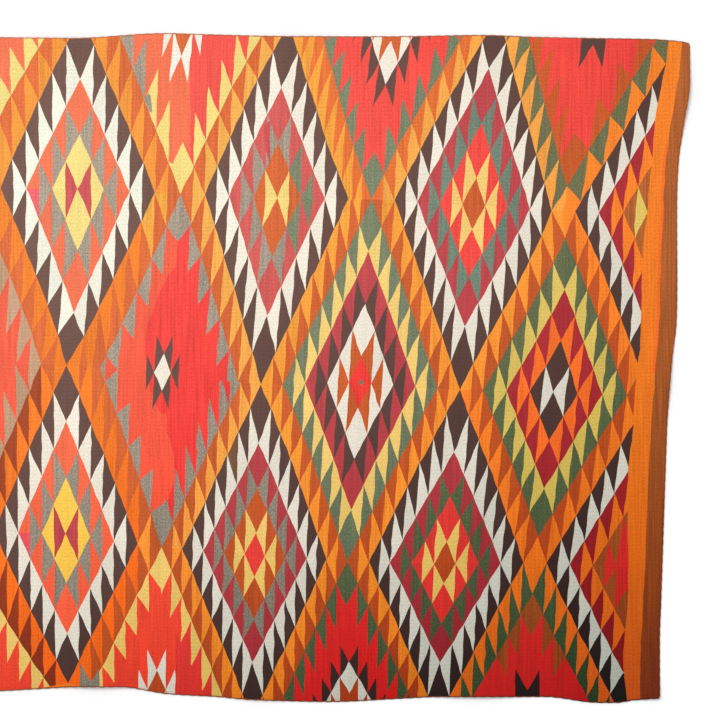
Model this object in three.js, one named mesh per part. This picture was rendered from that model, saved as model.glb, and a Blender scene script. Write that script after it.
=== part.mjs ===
// A handwoven wool blanket, a weft-faced tapestry of serrate diamonds, lying flat.
// Millimetres, +Z up. X runs along the warp, Y along the weft, and the underside rests on z = 0.
import * as THREE from 'three';

// Driving dimensions
const LENGTH = 1848; // along the warp, from end cord to end cord
const WIDTH = 1474; // along the weft, between the side cords at the widest place
const CLOTH_THICKNESS = 2.8;
const CORD_DIAMETER = 3;
const CORD_GAP = 0.3; // clear space between a cord and the cloth

// The finished edges, each as how far it lies inside the length and width above.
// The sides are read from left to right.
const UPPER_SIDE = [
  { along: -940, inset: 8 },
  { along: -594, inset: 9 },
  { along: -440, inset: 11 },
  { along: -231, inset: 0 },
  { along: -154, inset: 2 },
  { along: 66, inset: 7 },
  { along: 264, inset: 7 },
  { along: 469, inset: 4 },
  { along: 594, inset: 9 },
  { along: 836, inset: 13 },
  { along: 902, inset: 18 },
  { along: 940, inset: 25 },
];
const LOWER_SIDE = [
  { along: -940, inset: 17 },
  { along: -594, inset: 26 },
  { along: -499, inset: 31 },
  { along: -422, inset: 35 },
  { along: -330, inset: 35 },
  { along: -231, inset: 20 },
  { along: -117, inset: 13 },
  { along: -44, inset: 7 },
  { along: 132, inset: 2 },
  { along: 286, inset: 9 },
  { along: 374, inset: 13 },
  { along: 605, inset: 13 },
  { along: 704, inset: 1 },
  { along: 762, inset: 0 },
  { along: 803, inset: 6 },
  { along: 940, inset: 13 },
];
// The ends are read from the lower side to the upper one.
const RIGHT_END = [
  { along: -745, inset: 66 },
  { along: -598, inset: 66 },
  { along: -510, inset: 63 },
  { along: -158, inset: 51 },
  { along: -92, inset: 48 },
  { along: 18, inset: 39 },
  { along: 106, inset: 29 },
  { along: 370, inset: 28 },
  { along: 458, inset: 24 },
  { along: 524, inset: 15 },
  { along: 634, inset: 0 },
  { along: 745, inset: 0 },
];
const LEFT_END = [
  { along: -745, inset: 16 },
  { along: -560, inset: 9 },
  { along: -250, inset: 3 },
  { along: 0, inset: 0 },
  { along: 330, inset: 5 },
  { along: 600, inset: 4 },
  { along: 745, inset: 12 },
];

// Low ripples where an edge is a little longer than the middle. Each is a soft rise of the whole
// sheet that dies away from the edge: its place, its half width, how far in it reaches, its height.
const RIPPLES = [
  { edge: 'lower', at: -720, half: 95, reach: 90, lift: 4 },
  { edge: 'lower', at: -376, half: 120, reach: 130, lift: 7 },
  { edge: 'lower', at: -30, half: 90, reach: 80, lift: 3 },
  { edge: 'lower', at: 455, half: 130, reach: 110, lift: 6 },
  { edge: 'lower', at: 860, half: 75, reach: 70, lift: 4 },
  { edge: 'upper', at: -470, half: 110, reach: 90, lift: 4 },
  { edge: 'upper', at: 60, half: 120, reach: 80, lift: 3 },
  { edge: 'upper', at: 620, half: 110, reach: 90, lift: 4 },
  { edge: 'right', at: 600, half: 130, reach: 90, lift: 6 },
  { edge: 'right', at: -30, half: 110, reach: 80, lift: 4 },
  { edge: 'left', at: 420, half: 120, reach: 80, lift: 4 },
  { edge: 'left', at: -330, half: 130, reach: 90, lift: 4 },
];

// The sheet is rings of points that follow its edge, around a middle that lies flat.
const STEPS_ALONG_SIDES = 44;
const STEPS_ALONG_ENDS = 30;
const RING_DEPTHS = [0, 30, 62, 96, 135]; // millimetres in from the cloth's edge
const EDGE_RISE = 0.15; // the closely packed edge stands this far off the surface, but for its corners
const CORD_FACES = 6;

const HALF_LENGTH = LENGTH / 2;
const HALF_WIDTH = WIDTH / 2;
const CORD_ROOM = CORD_DIAMETER + CORD_GAP; // from the finished edge in to the cloth
const CORD_RADIUS = CORD_DIAMETER / 2;

// The inset of a finished edge at a place along it, on a smooth curve through the table's rows.
function insetAt(rows, along) {
  const last = rows.length - 1;
  const slope = (i) => {
    const before = rows[Math.max(i - 1, 0)];
    const after = rows[Math.min(i + 1, last)];
    const turns = (before.inset - rows[i].inset) * (after.inset - rows[i].inset) >= 0;
    return turns ? 0 : (after.inset - before.inset) / (after.along - before.along);
  };
  let i = rows.findIndex((row) => row.along > along) - 1;
  if (i < 0) i = along < rows[0].along ? 0 : last - 1;
  const span = rows[i + 1].along - rows[i].along;
  const f = THREE.MathUtils.clamp((along - rows[i].along) / span, 0, 1);
  const rise = f * f * (3 - 2 * f);
  const leave = f * (1 - f) * (1 - f) * span * slope(i);
  const arrive = f * f * (f - 1) * span * slope(i + 1);
  return rows[i].inset * (1 - rise) + rows[i + 1].inset * rise + leave + arrive;
}

// The four edges of the sheet, moved in by a clear margin.
const upperY = (x, margin) => HALF_WIDTH - insetAt(UPPER_SIDE, x) - margin;
const lowerY = (x, margin) => -HALF_WIDTH + insetAt(LOWER_SIDE, x) + margin;
const rightX = (y, margin) => HALF_LENGTH - insetAt(RIGHT_END, y) - margin;
const leftX = (y, margin) => -HALF_LENGTH + insetAt(LEFT_END, y) + margin;

// A place on the sheet, from shares of its length and width to millimetres.
function placeOn(s, t, margin) {
  let x = THREE.MathUtils.lerp(-HALF_LENGTH, HALF_LENGTH, s);
  let y = THREE.MathUtils.lerp(-HALF_WIDTH, HALF_WIDTH, t);
  for (let pass = 0; pass < 4; pass += 1) {
    x = THREE.MathUtils.lerp(leftX(y, margin), rightX(y, margin), s);
    y = THREE.MathUtils.lerp(lowerY(x, margin), upperY(x, margin), t);
  }
  return { x, y };
}

// How high the sheet stands off the surface at a place.
function liftAt(x, y) {
  const sides = {
    upper: { along: x, depth: upperY(x, CORD_ROOM) - y },
    lower: { along: x, depth: y - lowerY(x, CORD_ROOM) },
    right: { along: y, depth: rightX(y, CORD_ROOM) - x },
    left: { along: y, depth: x - leftX(y, CORD_ROOM) },
  };
  let lift = 0;
  for (const ripple of RIPPLES) {
    const { along, depth } = sides[ripple.edge];
    const across = Math.abs(along - ripple.at) / ripple.half;
    const inward = Math.max(depth, 0) / ripple.reach;
    if (across >= 1 || inward >= 1) continue;
    const crest = (1 + Math.cos(Math.PI * across)) / 2;
    const fade = (1 - inward) * (1 - inward);
    lift += ripple.lift * crest * fade;
  }
  return lift;
}

// Even steps from 0 up to but not including 1.
const stepsOf = (count) => Array.from({ length: count }, (_, i) => i / count);

// The stations round the sheet's edge, turning from +X towards +Y.
const STATIONS = [
  ...stepsOf(STEPS_ALONG_SIDES).map((step) => ({ s: step, t: 0 })),
  ...stepsOf(STEPS_ALONG_ENDS).map((step) => ({ s: 1, t: step })),
  ...stepsOf(STEPS_ALONG_SIDES).map((step) => ({ s: 1 - step, t: 1 })),
  ...stepsOf(STEPS_ALONG_ENDS).map((step) => ({ s: 0, t: 1 - step })),
];

// The cloth: rings of the stations on its underside and its face, a flat middle and a rim.
function clothGeometry() {
  const rings = RING_DEPTHS.map((depth) => STATIONS.map(({ s, t }) => {
    const { x, y } = placeOn(s, t, CORD_ROOM + depth);
    const isCorner = s % 1 === 0 && t % 1 === 0;
    const rise = depth === 0 && !isCorner ? EDGE_RISE : 0;
    return { x, y, z: liftAt(x, y) + rise };
  }));
  const around = STATIONS.length;
  const faceStart = around * rings.length;
  const positions = [];
  for (const height of [0, CLOTH_THICKNESS]) {
    for (const { x, y, z } of rings.flat()) positions.push(x, y, z + height);
  }
  const faces = [];
  const quad = (a, b, c, d) => faces.push(a, b, c, a, c, d);
  for (let i = 0; i < around; i += 1) {
    const next = (i + 1) % around;
    for (let ring = 0; ring < rings.length - 1; ring += 1) {
      const [outer, inner] = [ring * around, (ring + 1) * around];
      quad(faceStart + outer + i, faceStart + outer + next, faceStart + inner + next, faceStart + inner + i);
      quad(outer + next, outer + i, inner + i, inner + next);
    }
    quad(i, next, faceStart + next, faceStart + i);
  }
  const middle = rings[rings.length - 1].map(({ x, y }) => new THREE.Vector2(x, y));
  const innermost = faceStart - around;
  for (const [a, b, c] of THREE.ShapeUtils.triangulateShape(middle, [])) {
    faces.push(faceStart + innermost + a, faceStart + innermost + b, faceStart + innermost + c);
    faces.push(innermost + c, innermost + b, innermost + a);
  }
  const geometry = new THREE.BufferGeometry();
  geometry.setAttribute('position', new THREE.Float32BufferAttribute(positions, 3));
  geometry.setIndex(faces);
  geometry.computeVertexNormals();
  return geometry;
}

// The section of a cord, a round one with a few sides.
function cordSection() {
  const corners = [];
  for (let i = 0; i < CORD_FACES; i += 1) {
    const angle = (2 * Math.PI * i) / CORD_FACES;
    corners.push(new THREE.Vector2(Math.cos(angle) * CORD_RADIUS, Math.sin(angle) * CORD_RADIUS));
  }
  return new THREE.Shape(corners);
}

// A route that takes one even step from each point to the next, so a cord bends where the cloth does.
class StepRoute extends THREE.Curve {
  constructor(points) {
    super();
    this.points = points;
  }

  getPoint(t, target = new THREE.Vector3()) {
    const reach = THREE.MathUtils.clamp(t, 0, 1) * (this.points.length - 1);
    const step = Math.min(Math.floor(reach), this.points.length - 2);
    return target.lerpVectors(this.points[step], this.points[step + 1], reach - step);
  }

  getUtoTmapping(u) {
    return u;
  }
}

// A cord along places on the sheet's finished edge, lying beside the cloth.
function cordGeometry(places) {
  const points = places.map(({ x, y }) => new THREE.Vector3(x, y, liftAt(x, y) + CORD_RADIUS));
  return new THREE.ExtrudeGeometry(cordSection(), {
    steps: points.length - 1,
    bevelEnabled: false,
    extrudePath: new StepRoute(points),
  });
}

// A side cord runs the whole length. An end cord fits between the two side cords.
function sideCord(t) {
  const shares = [...stepsOf(STEPS_ALONG_SIDES), 1];
  return cordGeometry(shares.map((s) => placeOn(s, t, CORD_RADIUS)));
}

function endCord(s) {
  const clear = (CORD_DIAMETER + 2 * CORD_GAP) / WIDTH;
  const shares = [clear, ...stepsOf(STEPS_ALONG_ENDS).slice(1), 1 - clear];
  return cordGeometry(shares.map((t) => placeOn(s, t, CORD_RADIUS)));
}

const wool = new THREE.MeshStandardMaterial({ color: 0xd0602a, roughness: 0.95, metalness: 0 });
const sideCordWool = new THREE.MeshStandardMaterial({ color: 0x4a332c, roughness: 0.95, metalness: 0 });
const endCordWool = new THREE.MeshStandardMaterial({ color: 0x8a4a24, roughness: 0.95, metalness: 0 });

const PIECES = [
  { name: 'blanket_cloth', geometry: clothGeometry(), material: wool },
  { name: 'upper_side_cord', geometry: sideCord(1), material: sideCordWool },
  { name: 'lower_side_cord', geometry: sideCord(0), material: sideCordWool },
  { name: 'right_end_cord', geometry: endCord(1), material: endCordWool },
  { name: 'left_end_cord', geometry: endCord(0), material: endCordWool },
];

const blanket = new THREE.Group();
for (const { name, geometry, material } of PIECES) {
  const mesh = new THREE.Mesh(geometry, material);
  mesh.name = name;
  blanket.add(mesh);
}

export default blanket;
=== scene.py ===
# %% [markdown]
# # A handwoven wool blanket
# This lesson dresses a flat blanket in its pattern. The solids of the part come first, as a fixed
# frame in metres. The cloth and its edge cords are then made again around them with everything that
# shows from close by: the serrate diamonds, the yarns, the ribs of the weave and the twisted cords.

# %% Load the frame
import math
import random

import bpy
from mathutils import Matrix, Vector, geometry, noise


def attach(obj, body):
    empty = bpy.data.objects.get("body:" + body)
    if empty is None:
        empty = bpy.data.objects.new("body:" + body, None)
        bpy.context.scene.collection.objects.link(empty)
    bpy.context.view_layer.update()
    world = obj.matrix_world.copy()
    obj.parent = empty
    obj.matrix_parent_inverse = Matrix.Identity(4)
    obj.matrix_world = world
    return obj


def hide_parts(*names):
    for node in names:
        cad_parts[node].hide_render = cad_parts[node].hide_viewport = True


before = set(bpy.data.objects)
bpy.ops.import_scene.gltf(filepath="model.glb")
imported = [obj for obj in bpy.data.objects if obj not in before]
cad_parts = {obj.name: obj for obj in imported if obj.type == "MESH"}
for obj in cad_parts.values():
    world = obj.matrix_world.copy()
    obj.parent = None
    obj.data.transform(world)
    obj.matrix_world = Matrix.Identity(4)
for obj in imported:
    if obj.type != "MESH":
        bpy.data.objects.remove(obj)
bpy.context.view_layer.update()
MM = 0.001  # lengths in the tables are millimetres
print("frame nodes:", sorted(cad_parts))

# %% [markdown]
# ## The camera
# The blanket is seen from straight above, a little to the right of its middle, so that its left end
# lies outside the picture. A long lens far away keeps the sides parallel. It is worked out from the
# width of floor in the picture.

# %% Set the camera
VIEW_CENTRE = (198 * MM, 17.6 * MM)
VIEW_WIDTH = 1584 * MM
CAMERA_HEIGHT = 6.0
SENSOR_WIDTH = 36


def add_object(name, data):
    """A new object in the scene, at the origin."""
    made = bpy.data.objects.new(name, data)
    bpy.context.scene.collection.objects.link(made)
    return made


camera_data = bpy.data.cameras.new("camera")
camera_data.sensor_width = SENSOR_WIDTH
camera_data.lens = SENSOR_WIDTH * CAMERA_HEIGHT / VIEW_WIDTH
camera = add_object("camera", camera_data)
camera.location = (*VIEW_CENTRE, CAMERA_HEIGHT)
bpy.context.scene.camera = camera
print("lens, mm:", round(camera_data.lens, 1))

# %% [markdown]
# ## The outline
# A weaver beats the weft by hand, so no edge of the blanket is straight. Each edge is a short table
# of places along it, and how far it lies inside the full length or width there. A smooth curve
# through the rows gives the edge anywhere. A straight line between rows would show as kinks.

# %% Chart the edges
LENGTH = 1848
WIDTH = 1474
SETTLING_ROUNDS = 4  # until a place between four uneven edges stays put
# Each row: along the edge, inset from the full size
UPPER_SIDE = [
    (-940, 8), (-594, 9), (-440, 11), (-231, 0), (-154, 2), (66, 7),
    (264, 7), (469, 4), (594, 9), (836, 13), (902, 18), (940, 25),
]
LOWER_SIDE = [
    (-940, 17), (-594, 26), (-499, 31), (-422, 35), (-330, 35), (-231, 20), (-117, 13), (-44, 7),
    (132, 2), (286, 9), (374, 13), (605, 13), (704, 1), (762, 0), (803, 6), (940, 13),
]
RIGHT_END = [
    (-745, 66), (-598, 66), (-510, 63), (-158, 51), (-92, 48), (18, 39),
    (106, 29), (370, 28), (458, 24), (524, 15), (634, 0), (745, 0),
]
LEFT_END = [(-745, 16), (-560, 9), (-250, 3), (0, 0), (330, 5), (600, 4), (745, 12)]


def smooth_value(rows, along):
    """The value at a place, on a smooth curve through the rows of a table."""
    last = len(rows) - 1

    def slope(i):
        before, after = rows[max(i - 1, 0)], rows[min(i + 1, last)]
        turns = (before[1] - rows[i][1]) * (after[1] - rows[i][1]) >= 0
        return 0 if turns else (after[1] - before[1]) / (after[0] - before[0])

    i = next((k for k, row in enumerate(rows) if row[0] > along), last) - 1
    i = min(max(i, 0), last - 1)
    span = rows[i + 1][0] - rows[i][0]
    f = min(max((along - rows[i][0]) / span, 0), 1)
    rise = f * f * (3 - 2 * f)
    leave = f * (1 - f) ** 2 * span * slope(i)
    arrive = f * f * (f - 1) * span * slope(i + 1)
    return rows[i][1] * (1 - rise) + rows[i + 1][1] * rise + leave + arrive


def upper_y(x, margin):
    return WIDTH / 2 - smooth_value(UPPER_SIDE, x) - margin


def lower_y(x, margin):
    return -WIDTH / 2 + smooth_value(LOWER_SIDE, x) + margin


def right_x(y, margin):
    return LENGTH / 2 - smooth_value(RIGHT_END, y) - margin


def left_x(y, margin):
    return -LENGTH / 2 + smooth_value(LEFT_END, y) + margin


def place_on(s, t, margin):
    """A place on the sheet, from shares of its length and width to millimetres."""
    x = LENGTH * (s - 0.5)
    y = WIDTH * (t - 0.5)
    for _ in range(SETTLING_ROUNDS):
        x = left_x(y, margin) * (1 - s) + right_x(y, margin) * s
        y = lower_y(x, margin) * (1 - t) + upper_y(x, margin) * t
    return x, y


print("right edge at mid height, mm:", round(right_x(0, 0), 1))

# %% [markdown]
# ## The relief
# The edges are a little longer than the middle, so here and there they stand off the floor in low
# ripples. Each ripple is a soft rise that dies away from the edge. The whole sheet also has slight
# lumps, as handspun yarn gives.

# %% Chart the ripples
CORD_DIAMETER = 3
CORD_GAP = 0.3
CORD_ROOM = CORD_DIAMETER + CORD_GAP
# Each row: edge, place along it, half width, reach inwards, height
RIPPLES = [
    ("lower", -720, 95, 90, 4), ("lower", -376, 120, 130, 7), ("lower", -30, 90, 80, 3),
    ("lower", 455, 130, 110, 6), ("lower", 860, 75, 70, 4), ("upper", -470, 110, 90, 4),
    ("upper", 60, 120, 80, 3), ("upper", 620, 110, 90, 4), ("right", 600, 130, 90, 6),
    ("right", -30, 110, 80, 4), ("left", 420, 120, 80, 4), ("left", -330, 130, 90, 4),
]
LUMP_SIZE = 70
LUMP_HEIGHT = 0.5


def edge_depths(x, y, margin=CORD_ROOM):
    """How far a place lies inside each edge, and where along that edge."""
    return {
        "upper": (x, upper_y(x, margin) - y),
        "lower": (x, y - lower_y(x, margin)),
        "right": (y, right_x(y, margin) - x),
        "left": (y, x - left_x(y, margin)),
    }


def inside_by(x, y, margin):
    """How far a place lies inside the nearest edge."""
    return min(depth for _, depth in edge_depths(x, y, margin).values())


def lift_at(x, y):
    """How high the sheet stands off the floor at a place, in millimetres."""
    depths = edge_depths(x, y)
    lift = 0
    for edge, place, half, reach, height in RIPPLES:
        along, depth = depths[edge]
        across = abs(along - place) / half
        inward = max(depth, 0) / reach
        if across < 1 and inward < 1:
            lift += height * (1 + math.cos(math.pi * across)) / 2 * (1 - inward) ** 2
    lump = noise.noise(Vector((x / LUMP_SIZE, y / LUMP_SIZE, 0)))
    return lift + LUMP_HEIGHT * (1 + lump) / 2


print("highest ripple, mm:", round(lift_at(-376, lower_y(-376, CORD_ROOM)), 2))

# %% [markdown]
# ## The net of diamonds
# The pattern is a net of two kinds of diamond. The first kind sits on even columns and odd rows. The
# second kind sits on odd columns and even rows, cut in half by the two sides of the blanket. The net
# leans and drifts as the weaving went on, so its corners are charted one by one, and everything else
# follows from them by rule. This keeps the drift of the real thing, which an even grid would lose.

# %% Chart the net
FIRST_COLUMN = -1
# A row of corners for each row of the net, from the upper side down. Each corner: x, y
NET = [
    [(-1067, 792), (-849, 792), (-671, 792), (-414, 774), (-183, 774), (42, 757),
     (279, 766), (504, 779), (717, 755), (904, 726), (1112, 710)],
    [(-1071, 400), (-856, 405), (-649, 398), (-422, 394), (-196, 383), (16, 374),
     (224, 371), (449, 358), (645, 345), (856, 341), (1056, 330)],
    [(-1080, 22), (-869, 22), (-671, 13), (-447, 7), (-222, -13), (-20, -36),
     (198, -31), (417, -47), (623, -53), (838, -64), (1037, -75)],
    [(-1075, -356), (-865, -356), (-658, -359), (-449, -364), (-238, -394), (-33, -412),
     (169, -425), (384, -431), (581, -427), (788, -438), (990, -447)],
    [(-1067, -730), (-862, -730), (-658, -730), (-444, -693), (-238, -741), (-40, -770),
     (167, -774), (367, -770), (565, -774), (771, -763), (960, -770)],
]
# For a column and the band between two rows: how far the upright line bows sideways at mid height
BOWS = {
    (3, 0): -2, (3, 3): -3, (4, 0): -8, (5, 0): -14, (6, 0): -8, (7, 0): -4, (2, 1): 9, (7, 1): 13,
    (7, 2): 4,
}


def net_point(column, row):
    """A place in the net, from shares of its columns and rows to millimetres."""
    i = min(max(math.floor(column) - FIRST_COLUMN, 0), len(NET[0]) - 2)
    j = min(max(math.floor(row), 0), len(NET) - 2)
    a = column - FIRST_COLUMN - i
    b = row - j
    corners = NET[j][i], NET[j][i + 1], NET[j + 1][i], NET[j + 1][i + 1]
    shares = (1 - a) * (1 - b), a * (1 - b), (1 - a) * b, a * b
    x, y = (sum(share * corner[k] for share, corner in zip(shares, corners)) for k in (0, 1))
    left_bow, right_bow = (BOWS.get((FIRST_COLUMN + k, j), 0) for k in (i, i + 1))
    x += 4 * b * (1 - b) * (left_bow * (1 - a) + right_bow * a)  # a parabola, whole at mid height
    return x, y


print("net corner (4, 1), mm:", net_point(4, 1))

# %% [markdown]
# ## The steps of a diamond
# A serrate diamond steps in by one even step after another. Most quarters are eight steps wide, some
# are nine, because the weaver counted warps by hand. Each kind of diamond reaches a number of those
# steps, and what is left between two diamonds is the strip. The second kind may stop short of the
# row line, which leaves a plain rhombus there.

# %% Chart the steps
# steps across a quarter and how many of them each kind of diamond reaches, how far the second kind
# comes to the row line, how deep its teeth are, how tall the inner outlines of the first kind are,
# and which kind the strip's teeth follow
USUAL = {
    "steps": 8, "reach": 6, "steps_2": 8, "reach_2": 6, "meet": 1.0, "tooth_2": 2, "inner": 1.0,
    "strip": 1,
}
NINE = {"steps": 9, "reach": 7, "steps_2": 9, "reach_2": 7}
SHORT = {"reach": 7, "meet": 0.85}
# Each row: gap between two columns, band between two rows, what differs there
QUARTERS = [
    (1, 0, {"reach_2": 6.5, "meet": 0.885, "inner": 0.95}),
    (2, 0, {"reach_2": 5.7, "inner": 0.95}),
    (3, 0, {"reach_2": 6.5, "inner": 0.95}),
    (4, 0, {"steps_2": 9.5, "reach_2": 6.8, "tooth_2": 1.75, "inner": 0.95, "strip": 2}),
    (5, 0, {**NINE, "tooth_2": 1.9}),
    (6, 0, {"reach": 7, "meet": 0.87}),
    (7, 0, {
        "reach": 7, "steps_2": 5.8, "reach_2": 4.35, "meet": 0.87, "tooth_2": 1.45, "strip": 2,
    }),
    (8, 0, {"reach": 7}),
    (1, 1, {"inner": 1.05}),
    (2, 1, {"reach_2": 5.4, "tooth_2": 1.45, "inner": 1.05}),
    (3, 1, {"tooth_2": 1.6, "inner": 0.95}),
    (4, 1, {"steps_2": 9, "reach_2": 7, "inner": 0.95, "strip": 2}),
    (5, 1, {**NINE, "inner": 0.92}),
    (6, 1, {**SHORT, "inner": 0.92}),
    (7, 1, SHORT),
    (8, 1, SHORT),
    (2, 2, {"reach_2": 5.4, "tooth_2": 1.4}),
    (3, 2, {**NINE, "tooth_2": 2.2, "inner": 0.92}),
    (4, 2, {**NINE, "inner": 0.92}),
    (5, 2, {**NINE, "inner": 0.9}),
    (6, 2, {**SHORT, "inner": 0.9}),
    (7, 2, SHORT),
    (8, 2, SHORT),
    (1, 3, {"reach_2": 6.5, "meet": 0.84}),
    (2, 3, {"tooth_2": 1.55}),
    (3, 3, {**NINE, "reach_2": 6.8, "inner": 0.92}),
    (4, 3, {**NINE, "inner": 0.92}),
    (5, 3, {**NINE, "reach_2": 7.3, "inner": 0.9}),
    (6, 3, {"reach": 7, "meet": 0.8, "inner": 0.9}),
    (7, 3, {"reach": 7, "meet": 0.8}),
    (8, 3, {"reach": 7}),
]
COUNTS = {(gap, band): {**USUAL, **differs} for gap, band, differs in QUARTERS}


def counts(gap, band):
    return COUNTS.get((gap, band), USUAL)


print("quarters that differ:", len(COUNTS))

# %% [markdown]
# ## Teeth between two stepped outlines
# Between an outer and an inner outline lie two rows of triangles, point to point like a saw. The
# outer yarn fills the teeth that point in, the inner yarn those that point out. One function gives
# both rows for a quarter, in steps across and steps along, and cuts them at the middle line.

# %% Cut the teeth
def sides(shape):
    """The sides of a closed outline, each as two corners."""
    return zip(shape, shape[1:] + shape[:1])


def between(here, there, share):
    return tuple(h + share * (t - h) for h, t in zip(here, there))


def keep_above(shape, axis, limit):
    """The part of a polygon where one coordinate is above a limit."""
    kept = []
    for here, there in sides(shape):
        inside, next_inside = here[axis] >= limit, there[axis] >= limit
        if inside:
            kept.append(here)
        if inside != next_inside:
            kept.append(between(here, there, (limit - here[axis]) / (there[axis] - here[axis])))
    return kept


def keep_below(shape, axis, limit):
    flipped = [tuple(-v for v in point) for point in shape]
    return [tuple(-v for v in point) for point in keep_above(flipped, axis, -limit)]


def band_of_teeth(outer, inner):
    """The teeth of a quarter between two outlines: (0 for the outer yarn or 1, step, polygon)."""
    teeth = []
    for step in range(math.ceil(outer)):
        top, low = outer - step, inner - step
        point_in = [(step, top), (step + 1, top - 1), (step, low)]
        point_out = [(step, low), (step + 1, low - 1), (step + 1, top - 1)]
        for which, shape in enumerate((point_in, point_out)):
            shape = keep_above(shape, 1, 0)
            if len(shape) > 2:
                teeth.append((which, step, shape))
    return teeth


print("teeth in a quarter band of six steps:", len(band_of_teeth(6, 4)))

# %% [markdown]
# ## The yarns of each diamond
# Each diamond is named by its column and row. Its bands run from the outside in, with two yarns
# each. The heart is one yarn, or two where a bow of the second crosses it. Where a yarn ran out on
# one side and another took over, a swap says from which step on.

# %% Chart the diamonds
TOOTH = 2  # steps that a band is deep
LEFT, RIGHT, UPPER, LOWER, BOTH = -1, 1, -1, 1, 0
FOUR_QUARTERS = [(LEFT, UPPER), (LEFT, LOWER), (RIGHT, UPPER), (RIGHT, LOWER)]
OUTER = ("dark", "white")
WITH_ROSE = [(LEFT, UPPER, 4, "coral", "rose"), (LEFT, LOWER, 3, "coral", "rose")]
# Each diamond: bands, heart, and then its swaps as (side, half, from step, old yarn, new yarn)
DIAMONDS = {
    (0, 1): ([OUTER, ("pale crimson", "orange")], ("rust",)),
    (2, 1): ([OUTER, ("coral", "grey")], ("yellow", "crimson"), *WITH_ROSE),
    (4, 1): (
        [OUTER, ("pale crimson", "grey")], ("rust", "yellow"), (RIGHT, BOTH, 1, "grey", "green"),
    ),
    (6, 1): ([OUTER, ("crimson", "blue green"), ("red", "yellow")], ("rust",)),
    (8, 1): ([OUTER, ("deep crimson", "orange"), ("brown", "straw")], ("brown",)),
    (0, 3): ([OUTER, ("crimson", "orange")], ("rust", "red")),
    (2, 3): ([OUTER, ("coral", "grey")], ("gold", "crimson"), *WITH_ROSE),
    (4, 3): ([OUTER, ("crimson", "grey"), ("rust", "yellow")], ("red",)),
    (6, 3): ([OUTER, ("crimson", "deep green"), ("red", "yellow")], ("rust",)),
    (8, 3): ([OUTER, ("deep crimson", "orange"), ("brown", "red")], ("red",)),
    (1, 0): ([("yellow", "coral")], ("coral",)),
    (3, 0): (
        [("yellow", "coral")], ("coral",),
        (RIGHT, BOTH, 0, "coral", "red"), (LEFT, LOWER, 3, "yellow", "grey"),
    ),
    (5, 0): ([("green", "red")], ("red",)),
    (7, 0): ([("rust", "red")], ("red",)),
    (1, 2): ([("sage", "scarlet")], ("scarlet",)),
    (3, 2): ([("grey", "scarlet")], ("scarlet",), (RIGHT, BOTH, 0, "scarlet", "deep red")),
    (5, 2): ([("green", "yellow"), ("crimson", "dark"), ("white", "rust")], ("deep red",)),
    (7, 2): ([("deep green", "straw"), ("deep crimson", "hot orange")], ("dark", "white")),
    (1, 4): ([("yellow", "scarlet")], ("scarlet",)),
    (3, 4): ([("yellow", "scarlet")], ("scarlet",), (RIGHT, BOTH, 2, "scarlet", "red")),
    (5, 4): ([("deep green", "deep red")], ("deep red",)),
    (7, 4): (
        [("brown", "red")], ("red",),
        (LEFT, UPPER, 3, "brown", "red"), (RIGHT, UPPER, 3, "brown", "red"),
    ),
}
PLAIN = ([("yellow", "coral")], ("coral",))
WHOLE = 0.001  # lets a span of whole strides count as whole in spite of rounding
patches = []  # each patch: yarn, polygon in millimetres


def lay(yarn, shape, to_cloth, stride):
    """Adds a patch whose sides follow the bent net, cut at every stride of the net's own measure."""
    points = []
    for here, there in sides(shape):
        span = max(abs(t - h) for h, t in zip(here, there))
        pieces = max(1, math.ceil(span / stride - WHOLE))
        points += [to_cloth(*between(here, there, i / pieces)) for i in range(pieces)]
    patches.append((yarn, points))


def diamond_point(column, row, side, half, p, q):
    """A place in a quarter of a diamond, from steps across and along to millimetres."""
    spec = counts(min(column, column + side), min(row, row + half))
    if column % 2 == 0:
        inside = min(max(spec["reach"] - p - q, 0), 1)
        a, b = p / spec["steps"], q / spec["reach"] * (1 + (spec["inner"] - 1) * inside)
    else:
        a, b = p / spec["steps_2"], q * spec["meet"] / spec["reach_2"]
    return net_point(column + side * a, row + half * b)


def add_diamond(column, row):
    """Adds the patches of a diamond, quarter by quarter."""
    bands, heart, *swaps = DIAMONDS.get((column, row), PLAIN)
    last_column = FIRST_COLUMN + len(NET[0]) - 1
    for side, half in FOUR_QUARTERS:
        if not (FIRST_COLUMN <= column + side <= last_column and 0 <= row + half < len(NET)):
            continue
        spec = counts(min(column, column + side), min(row, row + half))
        reach = spec["reach"] if column % 2 == 0 else spec["reach_2"]
        tooth = TOOTH if column % 2 == 0 else spec["tooth_2"]
        here = [swap[2:] for swap in swaps if swap[0] == side and swap[1] in (half, BOTH)]

        def add(yarn, step, shape):
            for first_step, old, new in here:
                if yarn == old and step >= first_step:
                    yarn = new
            lay(yarn, shape, lambda p, q: diamond_point(column, row, side, half, p, q), 1)

        for yarns in bands:
            for which, step, shape in band_of_teeth(reach, reach - tooth):
                add(yarns[which], step, shape)
            reach -= tooth
        add(heart[0], 0, [(0, 0), (reach, 0), (0, reach)])
        if len(heart) > 1:
            add(heart[1], 0, [(0, 0), (1, 0), (1, 1)])


for row in range(len(NET)):
    for column in range(FIRST_COLUMN, FIRST_COLUMN + len(NET[0])):
        if (column + row) % 2 == 1:
            add_diamond(column, row)
print("patches of the diamonds:", len(patches))

# %% [markdown]
# ## The strips between the diamonds
# Each quarter leaves a slanting strip between its two diamonds. The strip is cut into one upright
# saw tooth for each step, in two yarns. Near the two sides of the blanket some strips have green in
# the place of the rust.

# %% Fill the strips
USUAL_STRIP = ("orange", "rust")
PALE = ("pale orange", "rust")
LIGHTER = ("light orange", "rust")
DEEPER = ("deep orange", "rust")
LIGHT_RUST = ("light orange", "light rust")
DARK_RUST = ("deep orange", "dark rust")
WITH_GREEN = ("orange", "deep green")
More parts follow.
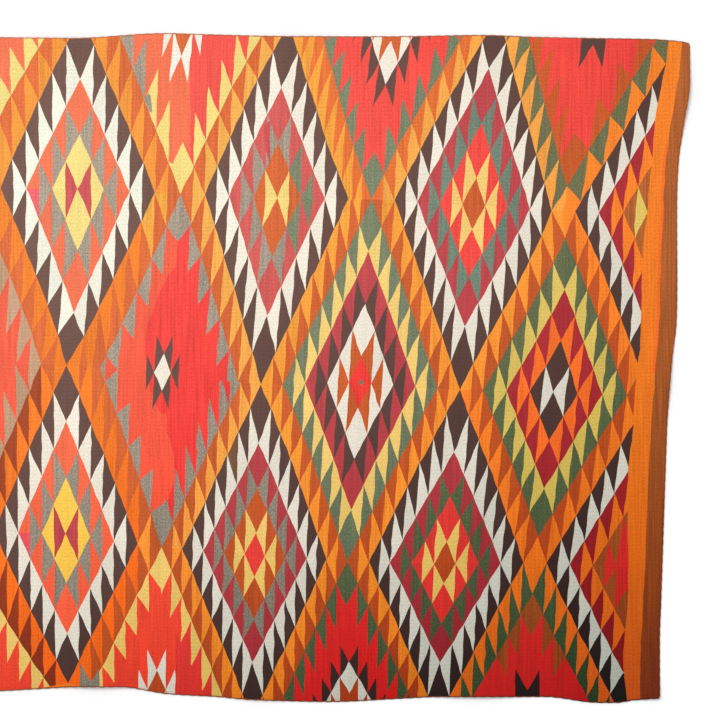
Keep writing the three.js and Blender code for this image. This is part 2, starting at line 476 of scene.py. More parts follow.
# For a gap and a band: the strip's two yarns, where they aren't the usual ones
STRIP_YARNS = {
    (3, 0): PALE, (4, 0): LIGHT_RUST, (5, 0): ("pale orange", "light rust"),
    (6, 0): ("pale orange", "olive"), (7, 0): ("orange", "olive"),
    (1, 1): DEEPER, (2, 1): DEEPER, (3, 1): PALE, (4, 1): LIGHTER, (5, 1): LIGHTER, (6, 1): LIGHTER,
    (1, 2): DARK_RUST, (2, 2): DEEPER, (3, 2): PALE, (4, 2): LIGHTER, (5, 2): LIGHTER,
    (1, 3): DARK_RUST, (2, 3): DEEPER, (3, 3): LIGHTER, (4, 3): LIGHTER, (5, 3): LIGHTER,
    (6, 3): WITH_GREEN, (7, 3): WITH_GREEN,
}
# For a gap, a band and a step: the yarns of that one tooth
TOOTH_YARNS = {
    (1, 2, 0): DEEPER, (1, 2, 1): DEEPER, (2, 1, 5): LIGHTER, (2, 1, 6): LIGHTER,
    (2, 1, 7): LIGHTER, (2, 2, 6): LIGHTER, (2, 2, 7): LIGHTER, (2, 3, 6): LIGHTER,
    (2, 3, 7): LIGHTER,
}
STRIP_STRIDE = 0.17  # share of a quarter between two points on a tooth's side


def add_strip(gap, band):
    """Adds the patches of the strip in one quarter."""
    spec = counts(gap, band)
    column, other_column = (gap, gap + 1) if gap % 2 == 0 else (gap + 1, gap)
    row, other_row = (band, band + 1) if band % 2 == 1 else (band + 1, band)
    yarns = STRIP_YARNS.get((gap, band), USUAL_STRIP)

    def strip_point(a, b):
        return net_point(column + (other_column - column) * a, row + (other_row - row) * b)

    def first_edge(a):
        return a, 1 - a * spec["steps"] / spec["reach"]

    def second_edge(a):
        return a, 1 - spec["meet"] * (1 - (1 - a) * spec["steps_2"] / spec["reach_2"])

    if spec["strip"] == 1:
        cuts = [step / spec["steps"] for step in range(spec["steps"] + 1)]
    else:
        cuts = [1 - step / spec["steps_2"] for step in reversed(range(int(spec["steps_2"]) + 1))]
    for step, (near, far) in enumerate(zip(cuts, cuts[1:])):
        shapes = (
            [first_edge(near), first_edge(far), second_edge(far)],
            [first_edge(near), second_edge(far), second_edge(near)],
        )
        for yarn, shape in zip(TOOTH_YARNS.get((gap, band, step), yarns), shapes):
            shape = keep_below(keep_above(shape, 1, 0), 1, 1)
            if len(shape) > 2:
                lay(yarn, shape, strip_point, STRIP_STRIDE)


for band in range(len(NET) - 1):
    for gap in range(FIRST_COLUMN, FIRST_COLUMN + len(NET[0]) - 1):
        add_strip(gap, band)
print("patches with the strips:", len(patches))

# %% [markdown]
# ## Where the weaver changed yarn
# A large plain field isn't always woven from one ball of yarn. The weaver fills a part, goes back for
# the part beside it, and may dip into another red by then. The join shows as a long, nearly upright
# line inside the field.

# %% Add the changes of yarn
# Each row: yarn, corners of the part
CHANGES = [
    ("deep red", [
        (-200, 232), (-226, 200), (-252, 140), (-271, 90), (-275, 46), (-270, -22), (-257, -64),
        (-240, -101), (-210, -101), (-180, 232),
    ]),
    ("scarlet", [
        (-242, -98), (-222, -152), (-211, -192), (-209, -246), (-224, -290), (-238, -290),
    ]),
    ("crimson", [(-13, 532), (0, 546), (0, 444), (-9, 480)]),
    ("grey", [(-277, 594), (-267, 606), (-261, 598), (-258, 560), (-265, 563)]),
    ("coral", [
        (-200, 772), (-175, 772), (-175, 467), (-190, 501), (-214, 449), (-222, 455), (-200, 506),
    ]),
    ("red", [(-207, -583), (-152, -693), (-145, -740), (-207, -740)]),
    ("umber", [(-69, -138), (-93, -189), (-73, -257)]),
    ("green", [(195, -32), (200, -24), (206, -32), (200, -40)]),
    ("grey", [(-418, -650), (-393, -689), (-374, -660), (-374, -735), (-418, -735)]),
]
patches += CHANGES
print("patches with the changes of yarn:", len(patches))

# %% [markdown]
# ## Small diamonds
# The half diamonds along the two sides, and one whole diamond, have a small serrate one in their
# middle. It has steps of its own, so it is charted by its centre, the size of a step and how much it
# leans. A band may leave the ground as it is, which is written as no yarn.

# %% Add the small diamonds
ALL = 9  # more teeth than any band has
WITH_DARK = [(None, "dark"), ("white", "rust")]
# Each row: centre, step across and along, lean, teeth in each band, bands from the outside in, heart
SMALL_DIAMONDS = [
    ((-190, 744), (21, 58), 0.10, ALL, [(None, "white")], "rust"),
    ((273, 767), (21, 48), 0.13, ALL, WITH_DARK, "rust"),
    ((716, 760), (27, 50), 0.11, 1, [(None, "dark")], "dark"),
    ((-236, -9), (18, 41), 0.05, ALL, [(None, "dark")], "white"),
    ((-249, -708), (20, 44), 0.0, ALL, [(None, "white")], "rust"),
    ((174, -750), (20, 35), 0.0, ALL, WITH_DARK, "rust"),
    ((566, -755), (27, 47), 0.0, 1, [(None, "dark")], "dark"),
    ((-660, 745), (22, 58), 0.05, ALL, [(None, "white")], "rust"),
    ((-671, 13), (20, 41), 0.05, ALL, [(None, "dark")], "white"),
    ((-660, -708), (22, 44), 0.0, ALL, [(None, "white")], "rust"),
]


def small_shapes(kept_teeth, bands, heart):
    """The patches of a quarter of a small diamond, in steps across and along."""
    shapes = []
    reach = 1 + TOOTH * len(bands)
    for yarns in bands:
        teeth = band_of_teeth(reach, reach - TOOTH)
        shapes += [(yarns[which], shape) for which, step, shape in teeth if step < kept_teeth]
        reach -= TOOTH
    shapes.append((heart, [(0, 0), (1, 0), (0, 1)]))
    return [(yarn, shape) for yarn, shape in shapes if yarn]


for (x, y), (across, along), lean, kept_teeth, bands, heart in SMALL_DIAMONDS:
    for side, half in FOUR_QUARTERS:
        for yarn, shape in small_shapes(kept_teeth, bands, heart):
            rises = [half * q * along for _, q in shape]
            points = [
                (x + side * p * across + lean * rise, y + rise) for (p, _), rise in zip(shape, rises)
            ]
            patches.append((yarn, points))
print("patches with the small diamonds:", len(patches))

# %% [markdown]
# ## The stripes at the ends
# The net runs out into a stripe of orange and a wider one of brown at each end. Their lines wander
# as the ends do. The right end is charted, and the left end is its plainer mirror.

# %% Add the end stripes
# Each row: y, x of the line
FIELD_LINE = [
    (-760, 787), (-727, 785), (-696, 781), (-670, 777), (-598, 779), (-510, 787), (-231, 788),
    (-141, 798), (-37, 804), (51, 813), (150, 817), (260, 821), (345, 829), (392, 834), (458, 841),
    (502, 843), (554, 849), (594, 856), (673, 871), (760, 880),
]
BROWN_LINE = [
    (-760, 814), (-598, 816), (-510, 821), (-158, 836), (-70, 843), (-4, 847), (62, 854),
    (150, 858), (260, 860), (329, 865), (450, 870), (536, 882), (605, 892), (657, 901), (760, 908),
]
LEFT_FIELD_LINE = [(-760, -852), (-300, -860), (200, -858), (760, -850)]
LEFT_BROWN_LINE = [(-760, -888), (-300, -893), (200, -892), (760, -886)]
BEYOND = 980  # past the ends of the cloth
STRIPE_END = 760  # past its sides
STRIPE_STEP = 20
STREAK_WIDTH = 7  # of a hotter orange beside the brown
STREAK_REACH = (-10, 501)


def along(rows):
    return lambda y: smooth_value(rows, y)


def add_stripe(yarn, near, far):
    """A stripe between two lines, each a function of y."""
    heights = range(-STRIPE_END, STRIPE_END + 1, STRIPE_STEP)
    points = [(near(y), y) for y in heights] + [(far(y), y) for y in reversed(heights)]
    patches.append((yarn, points))


add_stripe("orange", along(FIELD_LINE), along(BROWN_LINE))
streak = [(smooth_value(BROWN_LINE, y), y) for y in range(*STREAK_REACH, STRIPE_STEP)]
patches.append(("hot orange", streak + [(x - STREAK_WIDTH, y) for x, y in reversed(streak)]))
add_stripe("brown", along(BROWN_LINE), lambda y: BEYOND)
add_stripe("orange", along(LEFT_FIELD_LINE), along(LEFT_BROWN_LINE))
add_stripe("brown", along(LEFT_BROWN_LINE), lambda y: -BEYOND)
print("patches in all:", len(patches))

# %% [markdown]
# ## One cloth from many patches
# The patches share edges and lie over each other, so they can't be a mesh as they are. A constrained
# triangulation takes all their outlines at once and gives one mesh whose triangles know the patches
# that they came from. The last patch laid down wins. The outlines are first cut into short pieces,
# and a fine noise then moves every point a little, because a join between two hand-laid yarns is
# never quite straight.

# %% Triangulate the patches
CLOTH_MARGIN = 2.7  # from the finished edge in to the cloth, which takes in the side of the cord
RIM_LINES = (1.6, 12)  # further lines inside it, which give the rim small even faces
OUTLINE_STEPS = (220, 176)
PIECE = 9
FINE = 50  # corners, from which an outline isn't cut any shorter
SNAP = 0.1
NEAR = 0.12
FILLER_STEP = 23
FILLER_COUNT = (40, 32)  # rows and columns of loose points each side of the middle
FILLER_MARGIN = CLOTH_MARGIN + 16
SPECK = 4  # square millimetres, below which a patch is left out
LARGE = 5000  # square millimetres, from which a patch keeps the plain tone of its yarn
GROUND = "orange"
SEED = 7  # for the tones and the wander, so that each run gives the same cloth


def outline(margin):
    """The cloth's outline, turning from +X towards +Y."""
    along, across = OUTLINE_STEPS
    stations = [(i / along, 0) for i in range(along)]
    stations += [(1, i / across) for i in range(across)]
    stations += [(1 - i / along, 1) for i in range(along)]
    stations += [(0, 1 - i / across) for i in range(across)]
    return [place_on(s, t, margin) for s, t in stations]


def cut_short(polygon, piece):
    """A polygon with its long sides cut into even pieces."""
    points = []
    for here, there in sides(polygon):
        count = max(1, round(math.dist(here, there) / piece))
        points += [between(here, there, i / count) for i in range(count)]
    return points


def signed_area(polygon):
    return sum(a[0] * b[1] - b[0] * a[1] for a, b in sides(polygon)) / 2


point_ids = {}
points_in = []


def point_id(point):
    key = (round(point[0] / SNAP), round(point[1] / SNAP))
    if key not in point_ids:
        point_ids[key] = len(points_in)
        points_in.append(Vector(point))
    return point_ids[key]


rng = random.Random(SEED)
faces_in = []
face_looks = []  # the yarn and tone of each, or None for a line that is no patch
for yarn, polygon in [(GROUND, outline(CLOTH_MARGIN))] + patches:
    if signed_area(polygon) < 0:
        polygon = polygon[::-1]
    if signed_area(polygon) < SPECK:
        continue
    short = polygon if len(polygon) > FINE else cut_short(polygon, PIECE)
    ids = [point_id(point) for point in short]
    ids = [a for a, b in sides(ids) if a != b]
    if len(ids) > 2:
        faces_in.append(ids)
        tone = rng.uniform(-1, 1) if signed_area(polygon) < LARGE else 0
        face_looks.append((yarn, tone))
for depth in RIM_LINES:
    faces_in.append([point_id(point) for point in outline(CLOTH_MARGIN + depth)])
    face_looks.append(None)
for i in range(-FILLER_COUNT[0], FILLER_COUNT[0] + 1):
    for j in range(-FILLER_COUNT[1], FILLER_COUNT[1] + 1):
        x, y = (i + 0.5 * (j % 2)) * FILLER_STEP, j * FILLER_STEP
        if inside_by(x, y, FILLER_MARGIN) > 0:
            point_id((x, y))
result = geometry.delaunay_2d_cdt(points_in, [], faces_in, 1, NEAR)
flat_points, _, flat_faces, _, _, face_sources = result
print("triangulated:", len(flat_points), "points,", len(flat_faces), "triangles")

# %% [markdown]
# ## The sheet
# Each triangle is used twice, on the face and on the underside, because both sides of such a weave
# look the same. A rounded rim joins the two, as the weft turns round the last warp. Points are moved
# by the noise first, less and less towards the edge. Where that would turn a thin triangle over, its
# three corners get the same shift instead, round by round until none is left.

# %% Build the cloth
THICKNESS = 2.8
WANDER = 2.2
WANDER_SIZE = 24
WANDER_SLICE = 3.7  # where the noise is cut
WANDER_START = 4  # from the edge, and from there on it grows
WANDER_RISE = 20
LEAST_ROOM = 0.3  # share of its area that a triangle must keep
MOST_TURNS = 60
ROUND = 3.0  # from the edge, where the sheet gets thinner
ROUND_OFF = 0.7
RIM_OUT = 0.6
noise.seed_set(SEED)


def wander(x, y):
    """A small sideways shift, fading out towards the edge."""
    depth = inside_by(x, y, CLOTH_MARGIN)
    amount = min(max((depth - WANDER_START) / WANDER_RISE, 0), 1)
    at = Vector((x / WANDER_SIZE, y / WANDER_SIZE, WANDER_SLICE))
    return noise.noise_vector(at).to_2d() * WANDER * amount


def room(a, b, c):
    """Twice the area of a triangle, below zero where it has turned over."""
    return (b - a).cross(c - a)


def squeezed(face):
    """Whether the shifts leave a triangle too little of its area."""
    before = room(*(flat_points[i] for i in face))
    return room(*(flat_points[i] + shifts[i] for i in face)) < LEAST_ROOM * before


kept = []
for face, sources in zip(flat_faces, face_sources):
    if 0 in sources:
        top = max(i for i in sources if face_looks[i])
        kept.append((face, face_looks[top]))
used = sorted({i for face, _ in kept for i in face})
renumber = {old: new for new, old in enumerate(used)}
count = len(used)
shifts = {i: wander(*flat_points[i]) for i in used}
for turn in range(MOST_TURNS):
    slivers = [face for face, _ in kept if squeezed(face)]
    for face in slivers:
        mean = sum((shifts[i] for i in face), Vector((0, 0))) / 3
        shifts.update({i: mean for i in face})
    if not slivers:
        break
print("rounds to settle the slivers:", turn, "left:", len(slivers))
lower_points = []
upper_points = []
for i in used:
    x, y = flat_points[i] + shifts[i]
    depth = inside_by(x, y, CLOTH_MARGIN)
    lift = lift_at(x, y)
    round_off = ROUND_OFF * (1 - min(max(depth / ROUND, 0), 1)) ** 2
    lower_points.append((x * MM, y * MM, (lift + round_off) * MM))
    upper_points.append((x * MM, y * MM, (lift + THICKNESS - round_off) * MM))
points = lower_points + upper_points
faces = []
looks = []
open_edges = {}
for face, look in kept:
    a, b, c = (renumber[i] for i in face)
    faces.append((a + count, b + count, c + count))
    faces.append((c, b, a))
    looks += [look, look]
    for edge in ((a, b), (b, c), (c, a)):
        if open_edges.pop(edge[::-1], None) is None:
            open_edges[edge] = look
middle_of = {}
for a, b in open_edges:
    for i in (a, b):
        if i not in middle_of:
            x, y, low = lower_points[i]
            high = upper_points[i][2]
            middle_of[i] = len(points)
            out = Vector((x, y)).normalized() * RIM_OUT * MM
            points.append((x + out.x, y + out.y, (low + high) / 2))
for (a, b), look in open_edges.items():
    low, high = (a, b), (a + count, b + count)
    middle = (middle_of[a], middle_of[b])
    faces.append((low[0], low[1], middle[1], middle[0]))
    faces.append((middle[0], middle[1], high[1], high[0]))
    looks += [look, look]
print("cloth faces:", len(faces), "rim edges:", len(open_edges))

# %% [markdown]
# ## The wool
# All the yarns share one look: handspun wool, packed so tight that only weft shows. A node group
# draws it once. The warps make fine ribs along the blanket, each pass of weft is a short bead across
# a rib, and the dye takes unevenly, which gives streaks along the weft. The colour is also darker in
# the grooves between ribs and lighter on their tops, as painted shade and painted light. Some yarns
# are carded from two fleeces and look flecked. All of it reads the object's own coordinates, because
# the sheet lies flat. The daylight on the real blanket falls off from its upper left to its lower
# right, so the group paints that light into the colour, as a pale veil over the dyes. Lamps would
# also darken the floor there.

# %% Make the wool group
RIB = 3.0 * MM
# Painted shade darkens the colour between two ribs, and painted light lightens the top of each
PAINTED_GROOVE_SHADE, PAINTED_RIB_TOP_LIGHT = 0.84, 0.22  # between two ribs, and how much lighter the top of one is
RIB_WAVE = 0.5
BEAD = 1.2 * MM
BEAD_HEIGHT = 0.35  # beside a rib's height of 1
GRAIN_HEIGHT = 0.5
BUMP_DEPTH = 0.6 * MM
BUMP_STRENGTH = 0.8
TONE_GAIN = 0.05
STREAK_GAIN = 4.0
BLOTCH_GAIN = 0.16
GRAIN_GAIN = 0.9
FLECK_EDGES = (0.52, 0.60)
# A pale tint added to the colour as painted light, strongest at the upper left
PAINTED_LIGHT_TINT = (0.27, 0.225, 0.205)
PALEST = 0.985
PAINTED_LIGHT_MIDDLE = 0.80
PAINTED_LIGHT_ALONG = -0.41  # for each metre towards the right end
PAINTED_LIGHT_ACROSS = 0.60  # for each metre towards the upper side
PAINTED_LIGHT_CURVE = -0.59
PAINTED_LIGHT_TURN = 0.15
MOST_PAINTED_LIGHT = 1.1
SCREEN_GAMMA = 2.2


def node(tree, kind, links=(), **settings):
    """A node with its settings, and its inputs either linked or set."""
    made = tree.nodes.new(kind)
    for name, value in settings.items():
        setattr(made, name, value)
    for key, value in dict(links).items():
        if isinstance(value, bpy.types.NodeSocket):
            tree.links.new(value, made.inputs[key])
        else:
            made.inputs[key].default_value = value
    return made


def maths(tree, operation, a, b=0.0, c=0.0):
    return node(tree, "ShaderNodeMath", {0: a, 1: b, 2: c}, operation=operation).outputs[0]


wool = bpy.data.node_groups.new("handspun wool", "ShaderNodeTree")
for name, kind, default in (
    ("Colour", "NodeSocketColor", (0.5, 0.5, 0.5, 1)),
    ("Fleck", "NodeSocketColor", (0.5, 0.5, 0.5, 1)),
    ("Fleck share", "NodeSocketFloat", 0.0),
    ("Streaks", "NodeSocketFloat", 0.1),
):
    wool.interface.new_socket(name, in_out="INPUT", socket_type=kind).default_value = default
wool.interface.new_socket("Colour", in_out="OUTPUT", socket_type="NodeSocketColor")
wool.interface.new_socket("Normal", in_out="OUTPUT", socket_type="NodeSocketVector")
given = wool.nodes.new("NodeGroupInput").outputs
place = node(wool, "ShaderNodeTexCoord").outputs["Object"]
tone = node(wool, "ShaderNodeAttribute", attribute_name="tone").outputs["Fac"]


def stretched_noise(scale_x, scale_y, detail):
    """Noise from 0 to 1, with its own grain along and across the blanket."""
    scaled = node(
        wool, "ShaderNodeMapping", {"Vector": place, "Scale": (scale_x, scale_y, 1)}
    ).outputs[0]
    return node(
        wool, "ShaderNodeTexNoise", {"Vector": scaled, "Scale": 1.0, "Detail": detail}
    ).outputs["Fac"]


def wave_of(at):
    """Even bumps, one for each whole number."""
    return maths(wool, "ABSOLUTE", maths(wool, "SINE", maths(wool, "MULTIPLY", at, math.pi)))


streak = stretched_noise(260, 7, 3)
blotch = stretched_noise(9, 7, 2)
grain = stretched_noise(420, 300, 2)
sway = maths(wool, "MULTIPLY", stretched_noise(30, 60, 1), RIB_WAVE)
fleck = stretched_noise(620, 260, 1)
x, y, _ = node(wool, "ShaderNodeSeparateXYZ", {0: place}).outputs
rib_at = maths(wool, "MULTIPLY_ADD", y, 1 / RIB, sway)
rib = wave_of(rib_at)
stagger = maths(wool, "MULTIPLY", maths(wool, "FLOOR", rib_at), 0.5)
bead = wave_of(maths(wool, "MULTIPLY_ADD", x, 1 / BEAD, stagger))

# How light each place is: its own tone, streaks, blotches and grain, with painted shade between ribs
tone_and_rib_shade = maths(wool, "MULTIPLY_ADD", tone, TONE_GAIN, 1.0)
streak_gain = maths(wool, "MULTIPLY", given["Streaks"], STREAK_GAIN)
for value, gain in ((streak, streak_gain), (blotch, BLOTCH_GAIN), (grain, GRAIN_GAIN)):
    change = maths(wool, "MULTIPLY", maths(wool, "SUBTRACT", value, 0.5), gain)
    tone_and_rib_shade = maths(wool, "ADD", tone_and_rib_shade, change)
# Painted shade in the grooves between ribs, painted light on their tops
tone_and_rib_shade = maths(wool, "MULTIPLY", tone_and_rib_shade, maths(wool, "MULTIPLY_ADD", rib, PAINTED_RIB_TOP_LIGHT, PAINTED_GROOVE_SHADE))

# How strong the painted light is, growing towards the upper left
slope = maths(wool, "MULTIPLY_ADD", maths(wool, "SUBTRACT", y, x), PAINTED_LIGHT_TURN, PAINTED_LIGHT_ALONG)
painted_light_x = maths(wool, "MULTIPLY_ADD", x, slope, PAINTED_LIGHT_MIDDLE)
painted_light_y = maths(wool, "MULTIPLY", maths(wool, "MULTIPLY_ADD", y, PAINTED_LIGHT_CURVE, PAINTED_LIGHT_ACROSS), y)
amount = maths(wool, "MINIMUM", maths(wool, "ADD", painted_light_x, painted_light_y), MOST_PAINTED_LIGHT)
painted_light_vector = node(wool, "ShaderNodeCombineXYZ", {"X": amount, "Y": amount, "Z": amount}).outputs[0]

# The dye with its flecks, under the painted light added as a screen adds it, and then
# lightened or darkened by its tone and the painted shade of the ribs
flecks = node(
    wool, "ShaderNodeMapRange",
    {"Value": fleck, "From Min": FLECK_EDGES[0], "From Max": FLECK_EDGES[1], "To Min": 0.0,
     "To Max": given["Fleck share"]},
).outputs[0]
flecked = node(
    wool, "ShaderNodeMix", {0: flecks, 6: given["Colour"], 7: given["Fleck"]}, data_type="RGBA"
).outputs[2]
shown = node(wool, "ShaderNodeGamma", {"Color": flecked, "Gamma": 1 / SCREEN_GAMMA}).outputs[0]
pale = node(
    wool, "ShaderNodeVectorMath", {0: painted_light_vector, 1: PAINTED_LIGHT_TINT, 2: shown}, operation="MULTIPLY_ADD"
).outputs[0]
pale = node(wool, "ShaderNodeVectorMath", {0: pale, 1: (PALEST,) * 3}, operation="MINIMUM").outputs[0]
linear = node(wool, "ShaderNodeGamma", {"Color": pale, "Gamma": SCREEN_GAMMA}).outputs[0]
shaded = node(wool, "ShaderNodeVectorMath", {0: linear, 3: tone_and_rib_shade}, operation="SCALE")
height = maths(wool, "MULTIPLY_ADD", bead, BEAD_HEIGHT, rib)
height = maths(wool, "MULTIPLY_ADD", grain, GRAIN_HEIGHT, height)
bump = node(
    wool, "ShaderNodeBump", {"Strength": BUMP_STRENGTH, "Distance": BUMP_DEPTH, "Height": height}
)
leaves = wool.nodes.new("NodeGroupOutput").inputs
wool.links.new(shaded.outputs[0], leaves["Colour"])
wool.links.new(bump.outputs[0], leaves["Normal"])
print("wool group nodes:", len(wool.nodes))

# %% [markdown]
# ## The yarns
# Each yarn is a material of its own, so that one can be dyed again without touching the others. The
# colours are set by comparing plain parts of the render with the photo. The undyed yarns are brown,
# grey and white fleece. Wool is matt, with hardly any sheen, because its scales scatter light.

# %% Dye the yarns
def dye(colour):
    """A colour as a screen shows it, from 0 to 255, as the linear one that the shader takes."""
    shares = [v / 255 for v in colour]
    return (*(v / 12.92 if v <= 0.04045 else ((v + 0.055) / 1.055) ** 2.4 for v in shares), 1)


# Each yarn: colour and fleck colour from 0 to 255, share of flecks, strength of its streaks
YARNS = {
    "orange": ((214, 99, 6), (202, 84, 2), 0.3, 0.20),
    "pale orange": ((216, 126, 32), (206, 112, 20), 0.3, 0.18),
    "light orange": ((216, 117, 15), (204, 102, 8), 0.3, 0.18),
    "deep orange": ((214, 76, 0), (202, 62, 0), 0.3, 0.18),
    "hot orange": ((218, 84, 8), (204, 70, 4), 0.3, 0.16),
    "rust": ((159, 52, 4), (140, 42, 2), 0.3, 0.20),
    "light rust": ((178, 66, 6), (160, 54, 4), 0.3, 0.20),
    "dark rust": ((108, 18, 0), (96, 14, 0), 0.3, 0.16),
    "brown": ((144, 66, 14), (116, 48, 8), 0.4, 0.34),
    "cord brown": ((136, 68, 34), (112, 52, 26), 0.4, 0.20),
    "dark": ((46, 25, 21), (34, 18, 16), 0.4, 0.10),
    "umber": ((70, 42, 20), (54, 32, 16), 0.4, 0.20),
    "white": ((192, 191, 178), (179, 175, 158), 0.3, 0.04),
    "crimson": ((144, 26, 35), (128, 20, 30), 0.3, 0.18),
    "deep crimson": ((136, 10, 20), (120, 6, 16), 0.3, 0.18),
    "pale crimson": ((156, 40, 40), (140, 32, 34), 0.3, 0.18),
    "rose": ((198, 44, 57), (178, 34, 46), 0.3, 0.16),
    "red": ((199, 32, 26), (182, 22, 18), 0.3, 0.22),
    "deep red": ((197, 16, 14), (180, 10, 10), 0.3, 0.26),
    "scarlet": ((210, 42, 19), (196, 34, 15), 0.3, 0.20),
    "coral": ((210, 62, 29), (200, 52, 22), 0.3, 0.12),
    "yellow": ((203, 169, 81), (192, 154, 66), 0.3, 0.06),
    "gold": ((208, 162, 40), (196, 148, 30), 0.3, 0.08),
    "straw": ((186, 162, 66), (176, 150, 56), 0.3, 0.08),
    "green": ((58, 80, 54), (96, 104, 80), 0.7, 0.22),
    "blue green": ((54, 86, 72), (92, 110, 94), 0.7, 0.22),
    "deep green": ((50, 68, 36), (80, 88, 56), 0.7, 0.22),
    "olive": ((60, 70, 36), (92, 92, 60), 0.7, 0.22),
    "grey": ((92, 90, 78), (136, 128, 112), 0.8, 0.24),
    "sage": ((130, 100, 71), (152, 118, 92), 0.5, 0.16),
}


WOOL_FINISH = {
    "Roughness": 0.92, "Specular IOR Level": 0.2, "Sheen Weight": 0.04, "Sheen Roughness": 0.6,
}


def wool_material(name, colour, fleck, share, streaks):
    material = bpy.data.materials.new(name)
    material.use_nodes = True
    tree = material.node_tree
    shader = tree.nodes["Principled BSDF"]
    for setting, value in WOOL_FINISH.items():
        shader.inputs[setting].default_value = value
    look = node(
        tree, "ShaderNodeGroup",
        {"Colour": dye(colour), "Fleck": dye(fleck), "Fleck share": share, "Streaks": streaks},
        node_tree=wool,
    )
    tree.links.new(look.outputs["Colour"], shader.inputs["Base Color"])
    tree.links.new(look.outputs["Normal"], shader.inputs["Normal"])
    return material


materials = {
    name: wool_material(name.replace(" ", "_") + "_wool", *look) for name, look in YARNS.items()
}
print("yarns:", len(materials))

# %% [markdown]
# ## The cloth as an object
# The points and faces now become one mesh. Each face gets the material of its yarn, and a tone that
# its whole patch shares, because two patches of one yarn were seldom spun and dyed quite alike.

# %% Make the cloth object
mesh = bpy.data.meshes.new("woven_cloth")
mesh.from_pydata(points, [], faces)
order = list(YARNS)
for name in order:
    mesh.materials.append(materials[name])
mesh.polygons.foreach_set("material_index", [order.index(yarn) for yarn, _ in looks])
mesh.polygons.foreach_set("use_smooth", [True] * len(faces))
tones = mesh.attributes.new("tone", "FLOAT", "FACE").data
tones.foreach_set("value", [tone for _, tone in looks])
mesh.update()
cloth = add_object("woven_cloth", mesh)
triangles = sum(len(face) - 2 for face in faces)
print("cloth triangles:", triangles, "problems mended:", mesh.validate())

# %% [markdown]
# ## The edge cords
# Two strands are twisted round each other along each edge, and the weft turns round them. Seen from
# above, the cord is wide where the strands lie side by side and thin where one hides the other,
# which gives the edge its small scallops. A Geometry Nodes tree sweeps two circles along the edge
# and turns them as they go. This makes the whole twist from one curve and three numbers.

# %% Grow the twist tree
STRAND_RADIUS = CORD_DIAMETER / 4
TWIST_PITCH = 40
TWIST_STEP = 2.5
STRAND_SIDES = 7
CORD_POINTS = 300


def twist_tree():
    """Two strands twisted round each other along a curve."""
    tree = bpy.data.node_groups.new("twisted cord", "GeometryNodeTree")
    tree.interface.new_socket("Geometry", in_out="INPUT", socket_type="NodeSocketGeometry")
    for name in ("Strand radius", "Pitch", "Step"):
        tree.interface.new_socket(name, in_out="INPUT", socket_type="NodeSocketFloat")
    tree.interface.new_socket("Wool", in_out="INPUT", socket_type="NodeSocketMaterial")
    tree.interface.new_socket("Geometry", in_out="OUTPUT", socket_type="NodeSocketGeometry")
    given = tree.nodes.new("NodeGroupInput").outputs
    even = node(
        tree, "GeometryNodeResampleCurve", {"Curve": given["Geometry"], "Length": given["Step"]},
        mode="LENGTH",
    )
    along = node(tree, "GeometryNodeSplineParameter").outputs["Length"]
    turns = maths(tree, "DIVIDE", along, given["Pitch"])
    angle = maths(tree, "MULTIPLY", turns, 2 * math.pi)
    turned = node(tree, "GeometryNodeSetCurveTilt", {"Curve": even.outputs[0], "Tilt": angle})
    section = node(tree, "GeometryNodeCurvePrimitiveCircle", {"Resolution": STRAND_SIDES})
    tree.links.new(given["Strand radius"], section.inputs["Radius"])
    pair = node(tree, "GeometryNodeJoinGeometry")
    for side in (-1, 1):
        shift = maths(tree, "MULTIPLY", given["Strand radius"], side)
        offset = node(tree, "ShaderNodeCombineXYZ", {"X": shift})
        moved = node(
            tree, "GeometryNodeTransform",
            {"Geometry": section.outputs[0], "Translation": offset.outputs[0]},
        )
        tree.links.new(moved.outputs[0], pair.inputs[0])
    swept = node(
        tree, "GeometryNodeCurveToMesh",
        {"Curve": turned.outputs[0], "Profile Curve": pair.outputs[0], "Fill Caps": True},
    )
    real = node(tree, "GeometryNodeRealizeInstances", {"Geometry": swept.outputs[0]})
    dressed = node(
        tree, "GeometryNodeSetMaterial", {"Geometry": real.outputs[0], "Material": given["Wool"]}
    )
    leaves = tree.nodes.new("NodeGroupOutput")
    tree.links.new(dressed.outputs[0], leaves.inputs[0])
    return tree


def grown(name, source, tree, settings):
    """The plain mesh that a Geometry Nodes tree makes from an object, as a new object."""
    modifier = source.modifiers.new("grow", "NODES")
    modifier.node_group = tree
    for socket in tree.interface.items_tree:
        if socket.item_type == "SOCKET" and socket.in_out == "INPUT" and socket.name in settings:
            modifier[socket.identifier] = settings[socket.name]
    source.update_tag()
    bpy.context.view_layer.update()
    evaluated = source.evaluated_get(bpy.context.evaluated_depsgraph_get())
    made = bpy.data.meshes.new_from_object(evaluated)
    bpy.data.objects.remove(source)
    made.name = name
    return add_object(name, made)


def route_curve(name, route):
    """A curve object of one open line through points in millimetres."""
    data = bpy.data.curves.new(name, "CURVE")
    data.dimensions = "3D"
    line = data.splines.new("POLY")
    line.points.add(len(route) - 1)
    for point, place in zip(line.points, route):
        point.co = (*(v * MM for v in place), 1)
    return add_object(name, data)


twist = twist_tree()
clear = (CORD_DIAMETER + 2 * CORD_GAP) / WIDTH
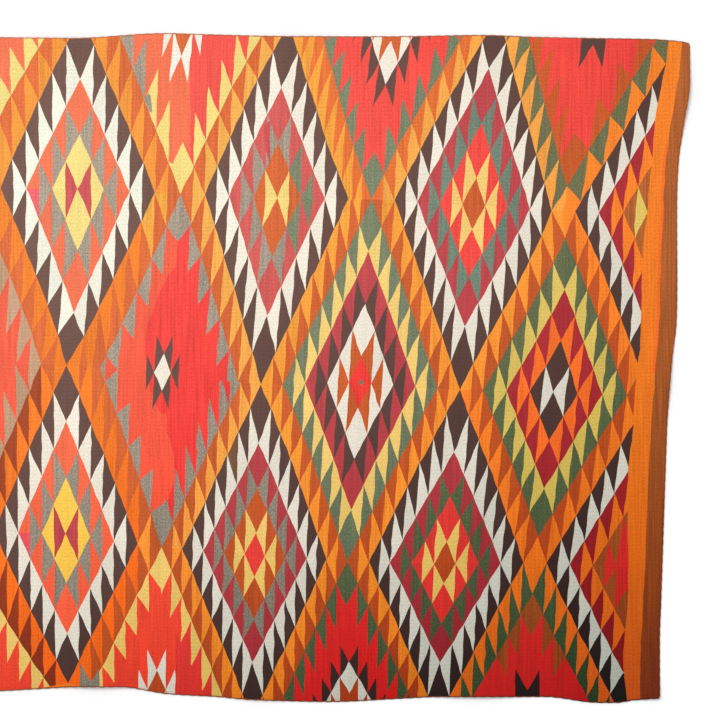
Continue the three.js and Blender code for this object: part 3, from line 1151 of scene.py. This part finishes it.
# Each cord: node, first and last place on the sheet as shares, yarn, slot
CORDS = [
    ("upper_side_cord", (0, 1), (1, 1), "cord brown", "side_cord_wool"),
    ("lower_side_cord", (0, 0), (1, 0), "cord brown", "side_cord_wool"),
    ("right_end_cord", (1, clear), (1, 1 - clear), "brown", "end_cord_wool"),
    ("left_end_cord", (0, clear), (0, 1 - clear), "brown", "end_cord_wool"),
]
cords = []
for node_name, start, end, yarn, slot in CORDS:
    route = []
    for i in range(CORD_POINTS + 1):
        x, y = place_on(*between(start, end, i / CORD_POINTS), CORD_DIAMETER / 2)
        route.append((x, y, lift_at(x, y) + CORD_DIAMETER / 2))
    curve = route_curve(node_name + "_route", route)
    settings = {
        "Strand radius": STRAND_RADIUS * MM, "Pitch": TWIST_PITCH * MM,
        "Step": TWIST_STEP * MM, "Wool": materials[yarn],
    }
    cord = grown(node_name + "_twist", curve, twist, settings)
    for polygon in cord.data.polygons:
        polygon.use_smooth = True
    cords.append((cord, node_name, slot))
    print(node_name, "faces:", len(cord.data.polygons))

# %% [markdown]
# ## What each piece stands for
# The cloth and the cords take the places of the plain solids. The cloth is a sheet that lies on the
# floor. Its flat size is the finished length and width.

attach(cloth, "root")
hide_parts("blanket_cloth")
for cord, node_name, slot in cords:
    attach(cord, "root")
    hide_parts(node_name)

# %% [markdown]
# ## Floor and light
# A plain pale floor and wide soft lights show the colours without glare. The main light comes from
# the upper left and a weaker one from the right. Sunlight is even over the floor, which stays
# plain, and the pale room around fills the shadows.

# %% Set the floor and the lights
FLOOR_HALF = 60
FLOOR_COLOUR = (0.93, 0.93, 0.93, 1)
FLOOR_ROUGHNESS = 0.9
floor_mesh = bpy.data.meshes.new("floor")
corners = [(x * FLOOR_HALF, y * FLOOR_HALF, 0) for x, y in ((-1, -1), (1, -1), (1, 1), (-1, 1))]
floor_mesh.from_pydata(corners, [], [(0, 1, 2, 3)])
floor = add_object("floor", floor_mesh)
floor_material = bpy.data.materials.new("pale_floor")
floor_material.use_nodes = True
floor_shader = floor_material.node_tree.nodes["Principled BSDF"]
floor_shader.inputs["Base Color"].default_value = FLOOR_COLOUR
floor_shader.inputs["Roughness"].default_value = FLOOR_ROUGHNESS
floor_mesh.materials.append(floor_material)

# Each light: direction that it comes from, strength, softness in degrees
LIGHTS = [
    ((-0.75, 0.85, 1.25), 1.75, 35),
    ((0.9, -0.5, 1.6), 0.45, 60),
]
ROOM_LIGHT = 0.55
for i, (direction, strength, softness) in enumerate(LIGHTS):
    lamp = bpy.data.lights.new(f"light_{i}", "SUN")
    lamp.energy = strength
    lamp.angle = math.radians(softness)
    light = add_object(f"light_{i}", lamp)
    light.location = direction
    light.rotation_mode = "QUATERNION"
    light.rotation_quaternion = (-Vector(direction)).to_track_quat("-Z", "Y")
world = bpy.data.worlds.new("pale room")
world.use_nodes = True
background = world.node_tree.nodes["Background"]
background.inputs["Color"].default_value = (1, 1, 1, 1)
background.inputs["Strength"].default_value = ROOM_LIGHT
bpy.context.scene.world = world
bpy.context.scene.view_settings.view_transform = "Standard"
print("lights:", len(LIGHTS))
